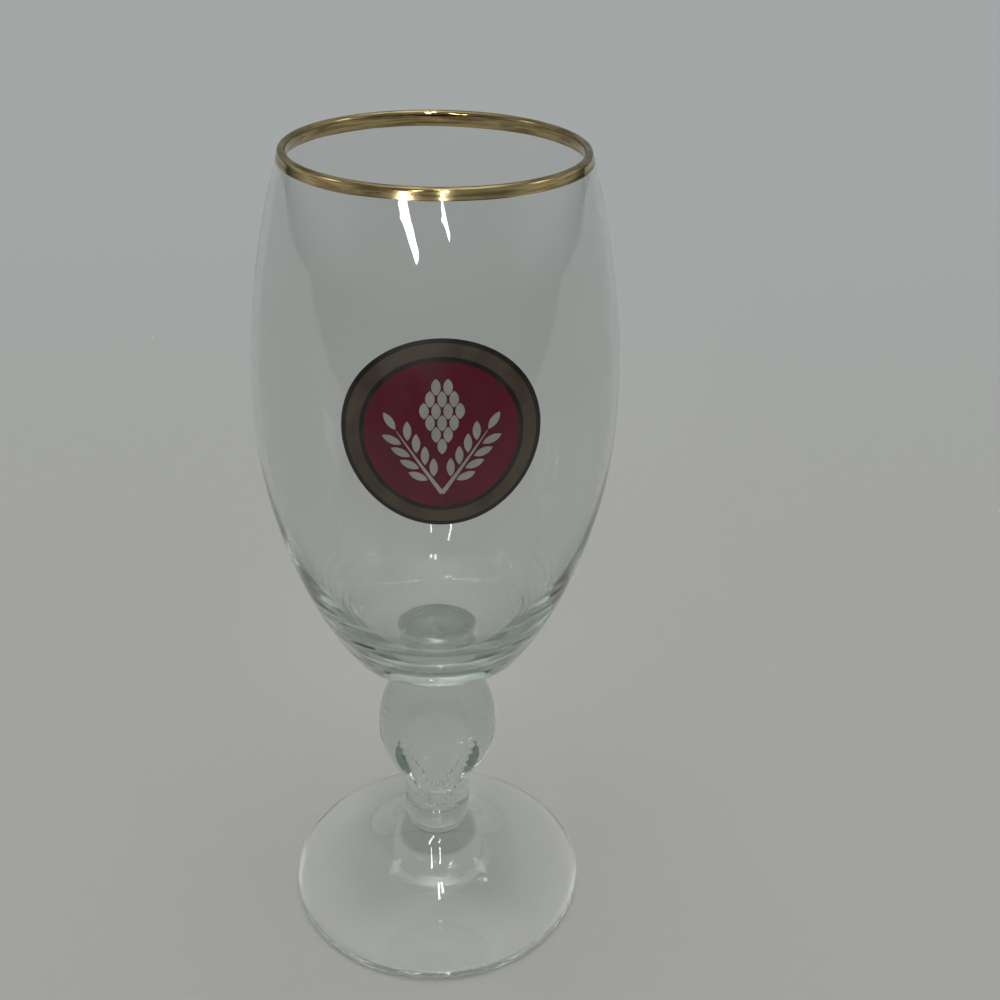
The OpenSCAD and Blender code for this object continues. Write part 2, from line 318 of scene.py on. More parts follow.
heel = lowerInside(bowl["heelShare"])
heelAhead = lowerInside(bowl["heelShare"] + 0.002)  # a short step up the wall gives its direction there
heelSlope = (heelAhead[0] - heel[0], heelAhead[1] - heel[1])
heelReach = (heel[1] - bowl["floorZ"]) * bowl["heelReach"] / heelSlope[1]
floorSide = [
    heel,
    (heel[0] - heelSlope[0] * heelReach, heel[1] - heelSlope[1] * heelReach),
    (heel[0] * bowl["floorFlat"], bowl["floorZ"]),
    (0.0, bowl["floorZ"]),
]
# where the fillet of the neck passes from the stem to the bowl
filletCentre = (bowl["neckRadius"] + bowl["fillet"],
                neckZ - bowl["fillet"] * math.sin(math.radians(bowl["filletEnd"])))


def bowlOutline():
    fillet = arc(filletCentre, bowl["fillet"], bowl["filletEnd"], 90, 4)
    seamZ = neckZ + seamGap
    edge = (bowl["baseRadius"] - bowl["edgeRound"], baseZ - bowl["edgeRound"])
    nearPull, farPull = bowl["underPulls"]
    under = [
        fillet[-1],
        (between(fillet[-1][0], edge[0], nearPull), fillet[-1][1] + bowl["underRise"]),
        (between(fillet[-1][0], edge[0], farPull), edge[1] - bowl["underSag"]),
        edge,
    ]
    rounding = [
        edge,
        (edge[0] + bowl["edgeIn"][0], edge[1] + bowl["edgeIn"][1]),
        (bowl["baseRadius"] - bowl["edgeOut"][0], baseZ - bowl["edgeOut"][1]),
        lowerSide[0],
    ]
    # rows lie closer together towards the heel, where the wall thickens
    rows = [(i / bowl["heelSteps"]) ** bowl["heelCrowd"] for i in range(bowl["heelSteps"] + 1)]
    shares = [between(bowl["heelShare"], 1, row) for row in rows]
    return joined(
        [(0.0, seamZ), (fillet[0][0], seamZ)],
        fillet[1:],
        curve(under, 14),
        curve(rounding, 5),
        curve(lowerSide, 60),
        curve(upperSide, bowl["wallSteps"]),
        arc(beadCentre, beadRadius, bowl["lean"], bowl["lean"] + 180, 12),
        [upperInside(1 - i / bowl["wallSteps"]) for i in range(bowl["wallSteps"] + 1)],
        [lowerInside(t) for t in reversed(shares)],
        curve(floorSide, 32),
    )


# Stem: collar, waist, knop and neck, with a notched thumb cut on the front and the back
stem = {
    "segments": 448, "collarRadius": 8.5, "collarHeight": 5.7, "collarRound": 0.7,
    "waistRadius": 8.1, "knopZ": 51.8, "waistUp": 0.42, "knopDown": 0.35, "knopUp": 0.46, "neckDown": 0.52,
}
thumb = {
    "height": 49.6, "depth": 10.4, "dish": 1500.0, "lean": 7.5, "soften": 0.06,
    "groove": 0.5, "grooveWide": 0.16, "grooveTop": 50.0, "grooveFull": 44.0, "grooveLeast": 0.25,
    "notches": 36, "notchWide": 10.4, "notchHigh": 16.0, "notchDeep": 0.12, "notchSharp": 1.6,
    "notchFrom": 0.36, "notchTo": 0.9, "faceFrom": 0.35, "faceTo": 0.5,
    "core": 7.9, "cutLow": (29.2, 31.2), "cutHigh": (73.5, 71.5),  # nothing is cut inside or beyond these
}


def stemOutline():
    collarZ = stemFoot + stem["collarHeight"]
    inside = stem["collarRadius"] - stem["collarRound"]
    meet = math.degrees(math.acos((stem["waistRadius"] - inside) / stem["collarRound"]))
    lower = [
        (stem["waistRadius"], collarZ),
        (stem["waistRadius"], between(collarZ, stem["knopZ"], stem["waistUp"])),
        (knopRadius, between(stem["knopZ"], collarZ, stem["knopDown"])),
        (knopRadius, stem["knopZ"]),
    ]
    neckEnd = filletCentre[1]
    upper = [
        (knopRadius, stem["knopZ"]),
        (knopRadius, between(stem["knopZ"], neckEnd, stem["knopUp"])),
        (bowl["neckRadius"], between(neckEnd, stem["knopZ"], stem["neckDown"])),
        (bowl["neckRadius"], neckEnd),
    ]
    fillet = arc(filletCentre, bowl["fillet"], 180, bowl["filletEnd"], 6)
    top = (fillet[-1][0], stemTop - seamGap)
    low = stemFoot + seamGap
    return joined(
        [(0.0, low), (inside, low)],
        arc((inside, stemFoot + stem["collarRound"] + seamGap), stem["collarRound"], -90, 0, 6),
        arc((inside, collarZ - stem["collarRound"]), stem["collarRound"], 0, meet, 6),
        curve(lower, 112),
        curve(upper, 60),
        fillet[:-1],
        [top, (0.0, top[1])],
    )


def stemTree():
    names = ["Cut Height", "Cut Place", "Dish Radius", "Lean", "Soften", "Groove", "Groove Width",
             "Notches", "Notch Width", "Notch Height", "Notch Depth", "Notch From", "Notch To"]
    tree, graph, given = newTree("thumbCutStem", {"Segments": "Int", "Material": "Material",
                                                  **{name: "Float" for name in names}})
    place = graph.add("GeometryNodeInputPosition")
    parts = graph.add("ShaderNodeSeparateXYZ", {}, {"Vector": place})
    x, y, z = parts["X"], parts["Y"], parts["Z"]
    radius = graph.calc("SQRT", x * x + y * y)
    facing = graph.calc("ABSOLUTE", y) / graph.calc("MAXIMUM", radius, 1e-6)
    # the dish is part of a large sphere; along a level ray from the axis it lies at this distance
    dish = given["Dish Radius"]
    lean = graph.calc("RADIANS", given["Lean"])
    centreOut = given["Cut Place"] + dish * graph.calc("COSINE", lean)
    centreZ = given["Cut Height"] - dish * graph.calc("SINE", lean)
    rise = z - centreZ
    across = centreOut * facing
    inside = across * across - (centreOut * centreOut + rise * rise - dish * dish)
    reach = across - graph.calc("SQRT", graph.calc("MAXIMUM", inside, 0.0))
    far = graph.calc("LESS_THAN", inside, 0.0)  # no dish on this ray, so it's put a metre away
    distance = reach * (1 - far) + far * 1.0
    # notches round the border of the dish, in its own oval
    u = x / given["Notch Width"]
    w = (z - given["Cut Height"]) / given["Notch Height"]
    oval = graph.calc("SQRT", u * u + w * w)
    angle = graph.calc("ARCTAN2", w, u)
    teeth = graph.calc("COSINE", angle * given["Notches"]) * 0.5 + 0.5
    faces = graph.fade(facing, thumb["faceFrom"], thumb["faceTo"])  # the front and the back, not the sides
    ring = graph.fade(oval, given["Notch From"], given["Notch To"]) * faces
    notch = (teeth ** thumb["notchSharp"]) * ring * given["Notch Depth"]
    cut = graph.calc("SMOOTH_MIN", radius, distance - notch, given["Soften"])
    border = graph.calc("ABSOLUTE", radius - distance)  # nothing where the dish meets the round knop
    groove = graph.fade(border, given["Groove Width"], 0.0)
    groove = groove * graph.fade(z, thumb["grooveTop"] * mm, thumb["grooveFull"] * mm) * faces
    groove = groove * (teeth * (1 - thumb["grooveLeast"]) + thumb["grooveLeast"])
    shaped = graph.calc("MINIMUM", radius, cut) - groove * given["Groove"]
    scale = shaped / graph.calc("MAXIMUM", radius, 1e-6)
    low, high = thumb["cutLow"], thumb["cutHigh"]
    where = graph.calc("GREATER_THAN", radius, thumb["core"] * mm)
    where = where * graph.fade(z, low[0] * mm, low[1] * mm) * graph.fade(z, high[0] * mm, high[1] * mm)
    scale = 1 + (scale - 1) * where
    moved = graph.add("ShaderNodeCombineXYZ", {}, {"X": x * scale, "Y": y * scale, "Z": z})
    body = graph.add("GeometryNodeSetPosition", {}, {"Geometry": turn(graph, given), "Position": moved})
    closeTree(graph, body, given["Material"])
    return tree


# Foot: hollow underside, resting ring, rounded edge and the rise to the stem
foot = {
    "segments": 384, "edge": 2.6, "pad": 2.6, "hollow": 1.4, "neck": 7.8,
    "hollowFlat": 0.4, "hollowEdge": 0.82, "riseIn": 0.27, "riseLow": 0.11, "riseDown": 0.12,
    "density": 12.0,
}


def footOutline():
    edge = foot["edge"] / 2
    padOut = footRadius - edge
    padIn = padOut - foot["pad"]
    hollow = [
        (0.0, foot["hollow"]), (padIn * foot["hollowFlat"], foot["hollow"]),
        (padIn * foot["hollowEdge"], 0.0), (padIn, 0.0),
    ]
    rise = [
        (padOut, foot["edge"]),
        (between(foot["neck"], padOut, foot["riseIn"]), between(foot["edge"], footTop, foot["riseLow"])),
        (foot["neck"], between(footTop, foot["edge"], foot["riseDown"])),
        (foot["neck"], footTop - seamGap),
    ]
    return joined(
        curve(hollow, 24),
        arc((padOut, edge), edge, -90, 90, 16),
        curve(rise, 64),
        [(0.0, footTop - seamGap)],
    )


# Glass: clear, with a grey-green tint where it is thick, slow waves in its skin and a few dull smudges
allGlass = {
    "tint": (0.745, 0.795, 0.762), "density": 30.0, "index": 1.5, "rippleShare": 0.06,
    "clean": (0.905, 0.913, 0.906), "hazy": (0.875, 0.885, 0.877),
    "smear": 52.0, "smudge": 0.03, "smudgeFrom": 0.60, "smudgeTo": 0.74,
}
clearGlass = {**allGlass, "wave": 34.0, "ripple": 170.0, "waveDeep": 0.03}
clearGlass["settle"] = {  # rings left in the thick heel as the glass settled, at its sides
    "length": 3.3, "deep": 0.06, "from": 83.0, "to": 101.0, "fadeLow": 8.0, "sideFrom": 9.0, "sideTo": 20.0,
    "wander": 2.5,
}
pressedGlass = {**allGlass, "wave": 60.0, "ripple": 260.0, "waveDeep": 0.05}
footGlass = {**pressedGlass, "density": foot["density"]}


def settleRings(graph, place, settle):
    spot = graph.add("ShaderNodeSeparateXYZ", {}, {"Vector": place})
    height, side = spot["Z"], graph.calc("ABSOLUTE", spot["X"])
    rings = graph.add("ShaderNodeTexWave", {"bands_direction": "Z"}, {
        "Vector": place, "Scale": math.pi / (10 * settle["length"] * mm),
        "Distortion": settle["wander"], "Detail": 2.0, "Detail Scale": 0.35})["Fac"]
    middle = (settle["from"] + settle["to"]) / 2
    band = graph.fade(height, settle["from"] * mm, (middle - settle["fadeLow"]) * mm)
    band = band * graph.fade(height, settle["to"] * mm, middle * mm)
    return rings * (band * graph.fade(side, settle["sideFrom"] * mm, settle["sideTo"] * mm))


def glassMaterial(name, look):
    material, graph = newMaterial(name)
    place = graph.add("ShaderNodeTexCoord")["Object"]
    wave = graph.grain(place, look["wave"], 1.0)["Fac"]
    ripple = graph.grain(place, look["ripple"])["Fac"]
    smear = graph.grain(place, look["smear"], 4.0, 0.6)["Fac"]
    skin = wave + ripple * look["rippleShare"]
    if "settle" in look:
        share = look["settle"]["deep"] / look["waveDeep"]
        skin = skin + settleRings(graph, place, look["settle"]) * share
    waves = {"Strength": 1.0, "Distance": look["waveDeep"] * mm, "Height": skin}
    bump = graph.add("ShaderNodeBump", {}, waves)
    dull = graph.fade(smear, look["smudgeFrom"], look["smudgeTo"], 0.0, look["smudge"])
    colour = graph.blend(smear, look["clean"], look["hazy"])
    seam = graph.add("ShaderNodeAttribute", {"attribute_name": "seam"})["Fac"]
    shader = graph.add("ShaderNodeBsdfPrincipled", {}, {
        "Base Color": colour, "Roughness": dull, "IOR": look["index"], "Transmission Weight": 1.0,
        "Normal": bump, "Alpha": 1 - seam})
    inside = graph.add("ShaderNodeVolumeAbsorption", {}, {
        "Color": look["tint"], "Density": look["density"]})
    graph.add("ShaderNodeOutputMaterial", {}, {"Surface": shader, "Volume": inside})
    return material


bowlFinish = glassMaterial("clearGlassFinish", clearGlass)
stemFinish = glassMaterial("pressedGlassFinish", pressedGlass)
footFinish = glassMaterial("footGlassFinish", footGlass)
turned = latheTree()


def turnedPiece(name, outline, segments, material, tree, seams, **values):
    piece = runTree(name, tree, chain(name, latheLine(outline)),
                    {"Segments": segments, "Material": material, **values})
    return finishTurned(piece, seams)


bowlPiece = turnedPiece(
    "bowlGlass", bowlOutline(), bowl["segments"], bowlFinish, turned, [neckZ + seamGap])
thumbSizes = {
    "Cut Height": thumb["height"] * mm, "Cut Place": thumb["depth"] * mm,
    "Dish Radius": thumb["dish"] * mm, "Lean": thumb["lean"], "Soften": thumb["soften"] * mm,
    "Groove": thumb["groove"] * mm, "Groove Width": thumb["grooveWide"] * mm,
    "Notches": float(thumb["notches"]), "Notch Width": thumb["notchWide"] * mm,
    "Notch Height": thumb["notchHigh"] * mm, "Notch Depth": thumb["notchDeep"] * mm,
    "Notch From": thumb["notchFrom"], "Notch To": thumb["notchTo"],
}
stemPiece = turnedPiece(
    "stemGlass", stemOutline(), stem["segments"], stemFinish, stemTree(),
    [stemFoot + seamGap, stemTop - seamGap], **thumbSizes)
footPiece = turnedPiece(
    "footGlass", footOutline(), foot["segments"], footFinish, turned, [footTop - seamGap])
for piece in (bowlPiece, stemPiece, footPiece):
    print("glass:", piece.name, len(piece.data.polygons), "faces")


# Gold: a thin skin over the lip, with an edge that was laid on by hand
gold = {
    "segments": 384, "steps": 8, "beadSteps": 12, "skin": 0.09, "sink": 0.01,
    "outside": 2.15, "inside": 2.6, "farDeeper": 0.45,
    "waver": 0.16, "waverPace": 2.4, "waverGain": 1.6, "seed": 3.7,
}


def waver(turnShare, lift):  # slow unevenness round the lip, from -1 to 1
    angle, pace = 2 * math.pi * turnShare, gold["waverPace"]
    spot = Vector((pace * math.cos(angle), pace * math.sin(angle), gold["seed"] + lift))
    return noise.noise(spot) * gold["waverGain"]


def bandPiece(name, material):
    work = bmesh.new()
    loops = []
    halfTurn = (bowl["lean"], bowl["lean"] + 180)
    for k in range(gold["segments"]):
        share = k / gold["segments"]
        outFrom = shareAtHeight(upperSide, lipTop - gold["outside"] - gold["waver"] * waver(share, 0))
        depth = gold["inside"] + gold["farDeeper"] * math.sin(2 * math.pi * share)
        inFrom = shareAtHeight(upperSide, lipTop - depth - gold["waver"] * waver(share, 5))
        outs = [between(outFrom, 1, i / gold["steps"]) for i in range(gold["steps"] + 1)]
        ins = [between(1, inFrom, i / gold["steps"]) for i in range(gold["steps"] + 1)]
        faces = []
        for lift in (gold["skin"], -gold["sink"]):
            row = []
            for t in outs:
                point, side = curvePoint(upperSide, t), curveSide(upperSide, t)
                row.append((point[0] + lift * side[0], point[1] + lift * side[1]))
            row += arc(beadCentre, beadRadius + lift, *halfTurn, gold["beadSteps"])[1:-1]
            for t in ins:
                point, side = upperInside(t), curveSide(upperSide, t)
                row.append((point[0] - lift * side[0], point[1] - lift * side[1]))
            faces.append(row)
        loop = faces[0] + faces[1][::-1]
        angle = 2 * math.pi * share
        loops.append([work.verts.new((r * math.cos(angle) * mm, r * math.sin(angle) * mm, z * mm))
                      for r, z in loop])
    for one, two in zip(loops, loops[1:] + loops[:1]):
        for i in range(len(one)):
            j = (i + 1) % len(one)
            work.faces.new((one[i], two[i], two[j], one[j]))
    mesh = bpy.data.meshes.new(name)
    work.to_mesh(mesh)
    work.free()
    mesh.materials.append(material)
    mesh.shade_smooth()
    piece = bpy.data.objects.new(name, mesh)
    scene.collection.objects.link(piece)
    return finishTurned(piece)


goldLook = {
    "bright": (0.54, 0.425, 0.215), "dull": (0.26, 0.19, 0.09), "dark": (0.05, 0.045, 0.045),
    "stretch": 14.0, "streak": 90.0, "cloud": 45.0, "fine": 900.0,  # brushed round the lip, not up it
    "stain": 0.8, "deep": 0.006, "roughLow": 0.04, "roughHigh": 0.16,
}


def goldMaterial(name, look):
    material, graph = newMaterial(name)
    place = graph.add("ShaderNodeTexCoord")["Object"]
    along = graph.vector("MULTIPLY", place, (1.0, 1.0, look["stretch"]))
    streak = graph.grain(along, look["streak"], 4.0, 0.6)["Fac"]
    cloud = graph.grain(place, look["cloud"])["Fac"]
    fine = graph.grain(along, look["fine"])["Fac"]
    base = graph.blend(graph.fade(streak, 0.36, 0.62), look["dull"], look["bright"])
    stain = graph.fade(cloud, 0.56, 0.66) * graph.fade(streak, 0.52, 0.60)
    base = graph.blend(stain * look["stain"], base, look["dark"])
    bump = graph.add("ShaderNodeBump", {}, {
        "Strength": 1.0, "Distance": look["deep"] * mm, "Height": streak + fine * 0.3})
    rough = graph.fade(cloud, 0.35, 0.65, look["roughLow"], look["roughHigh"]) + fine * 0.04
    shader = graph.add("ShaderNodeBsdfPrincipled", {}, {
        "Base Color": base, "Metallic": 1.0, "Roughness": rough, "Normal": bump})
    graph.add("ShaderNodeOutputMaterial", {}, {"Surface": shader})
    return material


goldPiece = bandPiece("goldBand", goldMaterial("burnishedGold", goldLook))
print("gold:", len(goldPiece.data.polygons), "faces")


# Badge: flat drawings laid on the front of the bowl, one for each fired colour
badge = {
    "height": 77.0, "turn": 1.5, "radius": 19.5, "line": 0.9, "border": 2.6, "coat": 0.08, "sink": 0.012,
    "segments": 192, "step": 0.7,
}
badgeZ = neckZ + badge["height"]
borderRadius = badge["radius"] - badge["line"]
innerLine = borderRadius - badge["border"]
fieldRadius = innerLine - badge["line"]


def bowlOutside(z):  # the outer radius at a height, and the direction out of the surface
    side = lowerSide if z < bowl["bellyZ"] else upperSide
    share = shareAtHeight(side, z)
    return curvePoint(side, share)[0], curveSide(side, share)


def laidOnBowl(name, flat, low, high, material):
    # flat is a bmesh in X and Z round the badge's middle; it becomes a closed coat of enamel
    def place(co, lift):
        radius, out = bowlOutside(badgeZ + co.z / mm)
        radius += lift * out[0]
        x = co.x / mm
        y = -math.sqrt(radius * radius - x * x)
        return Vector((x * mm, y * mm, (badgeZ + lift * out[1]) * mm + co.z))

    spin = Matrix.Rotation(math.radians(badge["turn"]), 3, "Z")
    work = bmesh.new()
    flat.verts.index_update()
    tops = [work.verts.new(spin @ place(v.co, high)) for v in flat.verts]
    lows = [work.verts.new(spin @ place(v.co, low)) for v in flat.verts]
    for face in flat.faces:
        ids = [v.index for v in face.verts]
        work.faces.new([tops[i] for i in ids])
        work.faces.new([lows[i] for i in reversed(ids)])
    for edge in flat.edges:
        if len(edge.link_faces) == 1:
            a, b = (v.index for v in edge.verts)
            work.faces.new((tops[a], tops[b], lows[b], lows[a]))
    flat.free()
    bmesh.ops.recalc_face_normals(work, faces=work.faces)
    mesh = bpy.data.meshes.new(name)
    work.to_mesh(mesh)
    work.free()
    mesh.materials.append(material)
    mesh.shade_smooth()
    mesh.set_sharp_from_angle(angle=math.radians(lathe["crease"]))
    piece = bpy.data.objects.new(name, mesh)
    scene.collection.objects.link(piece)
    return piece


def flatRings(*bands):  # each band is an outer and an inner radius; an inner radius of zero closes it
    flat = bmesh.new()
    for outer, inner in bands:
        steps = max(1, round((outer - inner) / badge["step"]))
        rows = []
        for i in range(steps + 1):
            r = between(outer, inner, i / steps) * mm
            if r < 1e-7:
                rows.append([flat.verts.new((0, 0, 0))])
                continue
            turns = [2 * math.pi * k / badge["segments"] for k in range(badge["segments"])]
            rows.append([flat.verts.new((r * math.cos(a), 0, r * math.sin(a))) for a in turns])
        for one, two in zip(rows, rows[1:]):
            for k in range(badge["segments"]):
                j = (k + 1) % badge["segments"]
                ends = (one[k], one[j], two[0]) if len(two) == 1 else (one[k], one[j], two[j], two[k])
                flat.faces.new(ends)
    return flat


# Motif: two ears of barley and a hop cone, made of one pointed shape that a tree repeats
motif = {
    "earFoot": 0.8, "earHeight": 20.0, "earLean": 34.0, "grain": 4.0, "grainArc": 2.9, "pairs": 4,
    "firstShare": 0.2, "grainLean": 34.0, "stalk": 0.9, "gap": 0.25,
    "scale": 3.3, "scaleArc": 1.95, "hopTop": 0.78, "hopStep": 2.3, "hopRow": 2.4,
    "hopCounts": [2, 3, 4, 3, 2, 1], "leafSteps": 10, "stalkSteps": 12, "stalkTaper": 0.85,
}


def leafMesh(name, length, arcRadius):  # a pointed leaf that stands on the origin, in X and Z
    half = length / 2
    offset = math.sqrt(arcRadius ** 2 - half ** 2)
    rows = []
    points, faces = [], []
    for i in range(motif["leafSteps"] + 1):
        z = length * i / motif["leafSteps"]
        wide = max(0.0, math.sqrt(max(0.0, arcRadius ** 2 - (z - half) ** 2)) - offset)
        sides = (0.0,) if wide < 1e-4 else (-1.0, -0.5, 0.0, 0.5, 1.0)
        rows.append([len(points) + k for k in range(len(sides))])
        points += [(wide * s * mm, 0, z * mm) for s in sides]
    for one, two in zip(rows, rows[1:]):
        for k in range(max(len(one), len(two)) - 1):
            if len(one) == 1:
                faces.append((one[0], two[k + 1], two[k]))
            elif len(two) == 1:
                faces.append((one[k], one[k + 1], two[0]))
            else:
                faces.append((one[k], one[k + 1], two[k + 1], two[k]))
    mesh = bpy.data.meshes.new(name)
    mesh.from_pydata(points, [], faces)
    return bpy.data.objects.new(name, mesh)


def leafTree():  # one leaf on every point of the input, turned by the point's own angle
    tree, graph, given = newTree("scatteredLeaves", {"Leaf": "Object", "Material": "Material"})
    info = graph.add("GeometryNodeObjectInfo", {"transform_space": "ORIGINAL"}, {"Object": given["Leaf"]})
    angle = graph.add("GeometryNodeInputNamedAttribute", {"data_type": "FLOAT"}, {"Name": "lean"})
    spin = graph.add("ShaderNodeCombineXYZ", {}, {"Y": angle})
    points = graph.add("GeometryNodeMeshToPoints", {}, {"Mesh": given["Geometry"]})
    leaves = graph.add("GeometryNodeInstanceOnPoints", {}, {
        "Points": points, "Instance": info["Geometry"], "Rotation": spin})
    closeTree(graph, leaves, given["Material"])
    return tree


def earPoints(lean):  # places and turns of the grains of an ear, turned round its foot
    first = motif["earHeight"] * motif["firstShare"]
    step = (motif["earHeight"] - first - motif["grain"]) / motif["pairs"]
    off = motif["stalk"] / 2 + motif["gap"]
    places = [(0.0, motif["earHeight"] - motif["grain"], 0.0)]
    for side in (-1, 1):
        places += [(side * off, first + step * i, side * motif["grainLean"]) for i in range(motif["pairs"])]
    return [leanedPoint(x, z, lean) + (math.radians(turnBy + lean),) for x, z, turnBy in places]


def leanedPoint(x, z, lean):  # lean is clockwise, as seen from the front
    a = math.radians(lean)
    drop = fieldRadius * motif["earFoot"]
    return x * math.cos(a) + z * math.sin(a), z * math.cos(a) - x * math.sin(a) - drop


def hopPoints():
    top = fieldRadius * motif["hopTop"]
    rows = enumerate(motif["hopCounts"])
    return [((i - (count - 1) / 2) * motif["hopStep"], top - motif["hopRow"] * row, math.pi)
            for row, count in rows for i in range(count)]


def scattered(name, leaf, places, tree, material):
    mesh = bpy.data.meshes.new(name)
    mesh.from_pydata([(x * mm, 0, z * mm) for x, z, _ in places], [], [])
    leans = mesh.attributes.new("lean", "FLOAT", "POINT")
    leans.data.foreach_set("value", [a for _, _, a in places])
    return runTree(name, tree, bpy.data.objects.new(name, mesh), {"Leaf": leaf, "Material": material})


def motifFlat(material):
    tree = leafTree()
    grainLeaf = leafMesh("grainLeaf", motif["grain"], motif["grainArc"])
    scaleLeaf = leafMesh("scaleLeaf", motif["scale"], motif["scaleArc"])
    earPlaces = earPoints(motif["earLean"]) + earPoints(-motif["earLean"])
    ears = scattered("ears", grainLeaf, earPlaces, tree, material)
    hop = scattered("hop", scaleLeaf, hopPoints(), tree, material)
    flat = bmesh.new()
    for piece in (ears, hop):
        flat.from_mesh(piece.data)
    for piece in (ears, hop, grainLeaf, scaleLeaf):
        bpy.data.objects.remove(piece)
    top = motif["earHeight"] - motif["grain"] - motif["gap"]
    for lean in (motif["earLean"], -motif["earLean"]):  # stalks, narrowing to the top
        rows = []
        for i in range(motif["stalkSteps"] + 1):
            share = i / motif["stalkSteps"]
            half = motif["stalk"] / 2 * (1 - motif["stalkTaper"] * share)
            ends = [leanedPoint(x, top * share, lean) for x in (-half, half)]
            rows.append([flat.verts.new((x * mm, 0, z * mm)) for x, z in ends])
        for one, two in zip(rows, rows[1:]):
            flat.faces.new((one[0], one[1], two[1], two[0]))
    return flat


# Enamel: printed through a fine screen, whose threads leave a faint weave
enamel = {"cloud": 150.0, "speck": 1800.0, "screen": 900.0, "deep": 0.004, "speckShare": 0.35, "weave": 0.4}


def enamelMaterial(name, colour, worn, rough):
    material, graph = newMaterial(name)
    place = graph.add("ShaderNodeTexCoord")["Object"]
    cloud = graph.grain(place, enamel["cloud"], 3.0)["Fac"]
    speck = graph.grain(place, enamel["speck"])["Fac"]
    screen = {"Vector": place, "Scale": enamel["screen"]}
    threads = graph.add("ShaderNodeTexWave", {"bands_direction": "X"}, screen)["Fac"]
    rows = graph.add("ShaderNodeTexWave", {"bands_direction": "Z"}, screen)["Fac"]
    base = graph.blend(graph.fade(cloud, 0.3, 0.7), colour, worn)
    base = graph.blend(graph.fade(speck, 0.66, 0.72) * enamel["speckShare"], base, worn)
    relief = threads * enamel["weave"] + rows * enamel["weave"] + speck * 0.8 + cloud
    bump = graph.add("ShaderNodeBump", {}, {
        "Strength": 1.0, "Distance": enamel["deep"] * mm, "Height": relief})
    roughness = graph.fade(cloud, 0.3, 0.7, rough - 0.06, rough + 0.08)
    shader = graph.add("ShaderNodeBsdfPrincipled", {}, {
        "Base Color": base, "Roughness": roughness, "Normal": bump,
        "Coat Weight": 0.15, "Coat Roughness": 0.2})
    graph.add("ShaderNodeOutputMaterial", {}, {"Surface": shader})
    return material


enamelColours = {  # fresh, worn, and how rough
    "black": ((0.012, 0.010, 0.009), (0.03, 0.026, 0.022), 0.36),
    "bronze": ((0.085, 0.062, 0.038), (0.13, 0.10, 0.065), 0.40),
    "red": ((0.20, 0.010, 0.030), (0.15, 0.008, 0.022), 0.34),
    "white": ((0.62, 0.60, 0.55), (0.50, 0.48, 0.43), 0.42),
}
inks = {name: enamelMaterial(name + "Enamel", *values) for name, values in enamelColours.items()}
firstCoat = (-badge["sink"], badge["coat"])
secondCoat = (badge["coat"] - badge["sink"], 2 * badge["coat"])
linesFlat = flatRings((badge["radius"], borderRadius), (innerLine, fieldRadius))
linesPiece = laidOnBowl("badgeLines", linesFlat, *firstCoat, inks["black"])
borderPiece = laidOnBowl("badgeBorder", flatRings((borderRadius, innerLine)), *firstCoat, inks["bronze"])
fieldPiece = laidOnBowl("badgeField", flatRings((fieldRadius, 0.0)), *firstCoat, inks["red"])
motifPiece = laidOnBowl("badgeMotif", motifFlat(inks["white"]), *secondCoat, inks["white"])
print("badge:", [len(piece.data.polygons) for piece in (linesPiece, borderPiece, fieldPiece, motifPiece)])

stands = {  # each CAD node, the piece that stands for it, and its finish
    "bowl": (bowlPiece, "clear_glass"),
    "stem": (stemPiece, "pressed_glass"),
    "foot": (footPiece, "pressed_glass"),
    "rim_band": (goldPiece, "gold"),
    "badge_keylines": (linesPiece, "enamel_black"),
    "badge_border": (borderPiece, "enamel_bronze"),
    "badge_field": (fieldPiece, "enamel_red"),
    "badge_motif": (motifPiece, "enamel_white"),
}
for node, (piece, slotName) in stands.items():
    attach(piece, "root")
    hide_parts(node)


# Floor: one pale sheet of card, in metres, that ends close in front; its colour is painted warm in front
# and cooler and lighter to the back, a painted shift of light across the card
card = {
    "wide": 4.5, "front": -0.36, "back": 7.0, "drop": 0.0001, "rough": 0.85,
    "warm": (0.715, 0.692, 0.658), "cool": (0.735, 0.755, 0.765), "warmTo": -0.1, "coolFrom": 1.1,
    "cloud": 1.1, "cloudShift": 0.3, "fibre": 420.0, "fibreShare": 0.1, "fibreDeep": 0.05,
}


def floorPiece():
    mesh = bpy.data.meshes.new("paleFloor")
    wide, front, back = card["wide"], card["front"], card["back"]
    corners = [(-wide, front), (wide, front), (wide, back), (-wide, back)]
    mesh.from_pydata([(x, y, -card["drop"]) for x, y in corners], [], [(0, 1, 2, 3)])
    material, graph = newMaterial("paleCard")
    place = graph.add("ShaderNodeTexCoord")["Object"]
    cloud = graph.grain(place, card["cloud"])["Fac"]
    fibre = graph.grain(place, card["fibre"], 3.0)["Fac"]
    # painted light: the colour slides from warm in front to cool and lighter at the back, with a cloudy
    # edge, standing in for how light falls on the card
    depth = graph.add("ShaderNodeSeparateXYZ", {}, {"Vector": place})["Y"] + cloud * card["cloudShift"]
    paintedLightShare = graph.fade(depth, card["warmTo"], card["coolFrom"]) * (1 - card["fibreShare"])
    colour = graph.blend(paintedLightShare + fibre * card["fibreShare"], card["warm"], card["cool"])
    bump = graph.add("ShaderNodeBump", {}, {
        "Strength": 0.2, "Distance": card["fibreDeep"] * mm, "Height": fibre})
    shader = graph.add("ShaderNodeBsdfPrincipled", {}, {
        "Base Color": colour, "Roughness": card["rough"], "Normal": bump})
    graph.add("ShaderNodeOutputMaterial", {}, {"Surface": shader})
    mesh.materials.append(material)
    floor = bpy.data.objects.new("paleFloor", mesh)
    scene.collection.objects.link(floor)


floorPiece()

